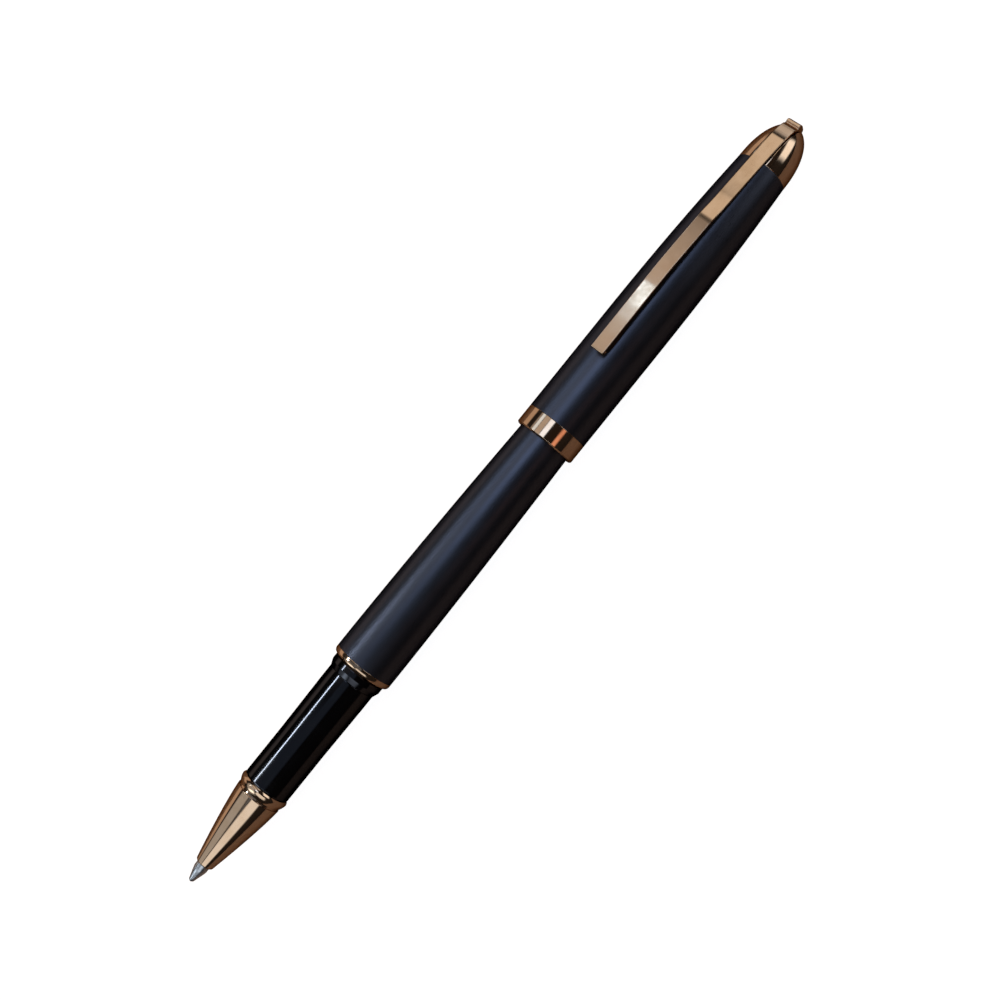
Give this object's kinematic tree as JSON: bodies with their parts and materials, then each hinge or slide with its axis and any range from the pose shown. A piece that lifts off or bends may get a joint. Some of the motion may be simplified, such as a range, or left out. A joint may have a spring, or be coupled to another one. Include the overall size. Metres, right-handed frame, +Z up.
{
  "type": "rollerball pen",
  "caption": "Slim capped rollerball pen with its cap posted: tapered satin barrel, gloss grip section, metal nose cone, screw-in refill holder and sprung strip clip.",
  "frame": {"origin": "under the middle of the pen's length, on the surface it lies on", "axes": "X along the pen from tip (-X) to cap (+X), +Z up through the clip, Y across"},
  "size_m": [0.1594, 0.0112, 0.0132],
  "materials": {
    "black_lacquer": "satin black lacquer on brass",
    "gloss_black": "polished black resin",
    "gold_plate": "polished champagne-gold plate",
    "raw_brass": "turned brass",
    "tip_steel": "turned stainless steel",
    "carbide": "polished carbide",
    "refill_grey": "satin moulded plastic",
    "refill_black": "satin moulded plastic",
    "ink_fibre": "fibre soaked in ink",
    "wick_fibre": "bonded fibre rod",
    "sleeve_plastic": "matte moulded plastic",
    "spring_steel": "drawn wire",
    "rubber": "matte rubber"
  },
  "bodies": {
    "barrel": {"barrel_front_ring": "gold_plate", "barrel_tube": "black_lacquer", "barrel_thread_bush": "raw_brass", "barrel_tail_plug": "gloss_black", "refill_spring": "spring_steel"},
    "section_carrier": {"section_o_ring": "rubber"},
    "section": {"nose_cone": "gold_plate", "nose_ring": "gold_plate", "grip_sleeve": "gloss_black", "section_collar": "gloss_black", "threaded_connector": "raw_brass"},
    "refill": {"steel_tip": "tip_steel", "refill_holder": "refill_grey", "refill_tube": "refill_grey", "refill_end_plug": "refill_black", "ink_reservoir": "ink_fibre", "feed_wick": "wick_fibre"},
    "ball": {"writing_ball": "carbide"},
    "cap_carrier": {"cap_inner_sleeve": "sleeve_plastic"},
    "cap": {"cap_band": "gold_plate", "cap_tube": "black_lacquer", "cap_top_bush": "raw_brass", "finial_screw": "tip_steel", "finial_dome": "gold_plate", "clip_root": "gold_plate"},
    "clip": {"clip_arm": "gold_plate"}
  },
  "joints": [
    {"name": "section_travel", "type": "slide", "parent": "barrel", "child": "section_carrier", "axis": [-1, 0, 0], "range_m": [0, 0.0045]},
    {"name": "section_turn", "type": "hinge", "parent": "section_carrier", "child": "section", "pos_m": [-0.0317, 0, 0.0056], "axis": [-1, 0, 0], "range_deg": [0, 1620]},
    {"name": "refill_push", "type": "slide", "parent": "section", "child": "refill", "axis": [1, 0, 0], "range_m": [0, 0.0015], "stiffness_N_per_m": 400, "springref_m": -0.001, "deforming": ["refill_spring"]},
    {"name": "ball_roll", "type": "hinge", "parent": "refill", "child": "ball", "pos_m": [-0.07935, 0, 0.0056], "axis": [0, 1, 0], "continuous": true},
    {"name": "cap_pull", "type": "slide", "parent": "barrel", "child": "cap_carrier", "axis": [1, 0, 0], "range_m": [0, 0.04]},
    {"name": "cap_turn", "type": "hinge", "parent": "cap_carrier", "child": "cap", "pos_m": [0.0303, 0, 0.0056], "axis": [1, 0, 0], "continuous": true},
    {"name": "clip_flex", "type": "hinge", "parent": "cap", "child": "clip", "pos_m": [0.0733, 0, 0.00977], "axis": [0, 1, 0], "range_deg": [0, 3], "stiffness_Nm_per_rad": 0.1, "springref_deg": -1.15}
  ],
  "couplings": [
    {"joint": "section_turn", "follows": "section_travel", "rad_per_m": 6283.2}
  ]
}
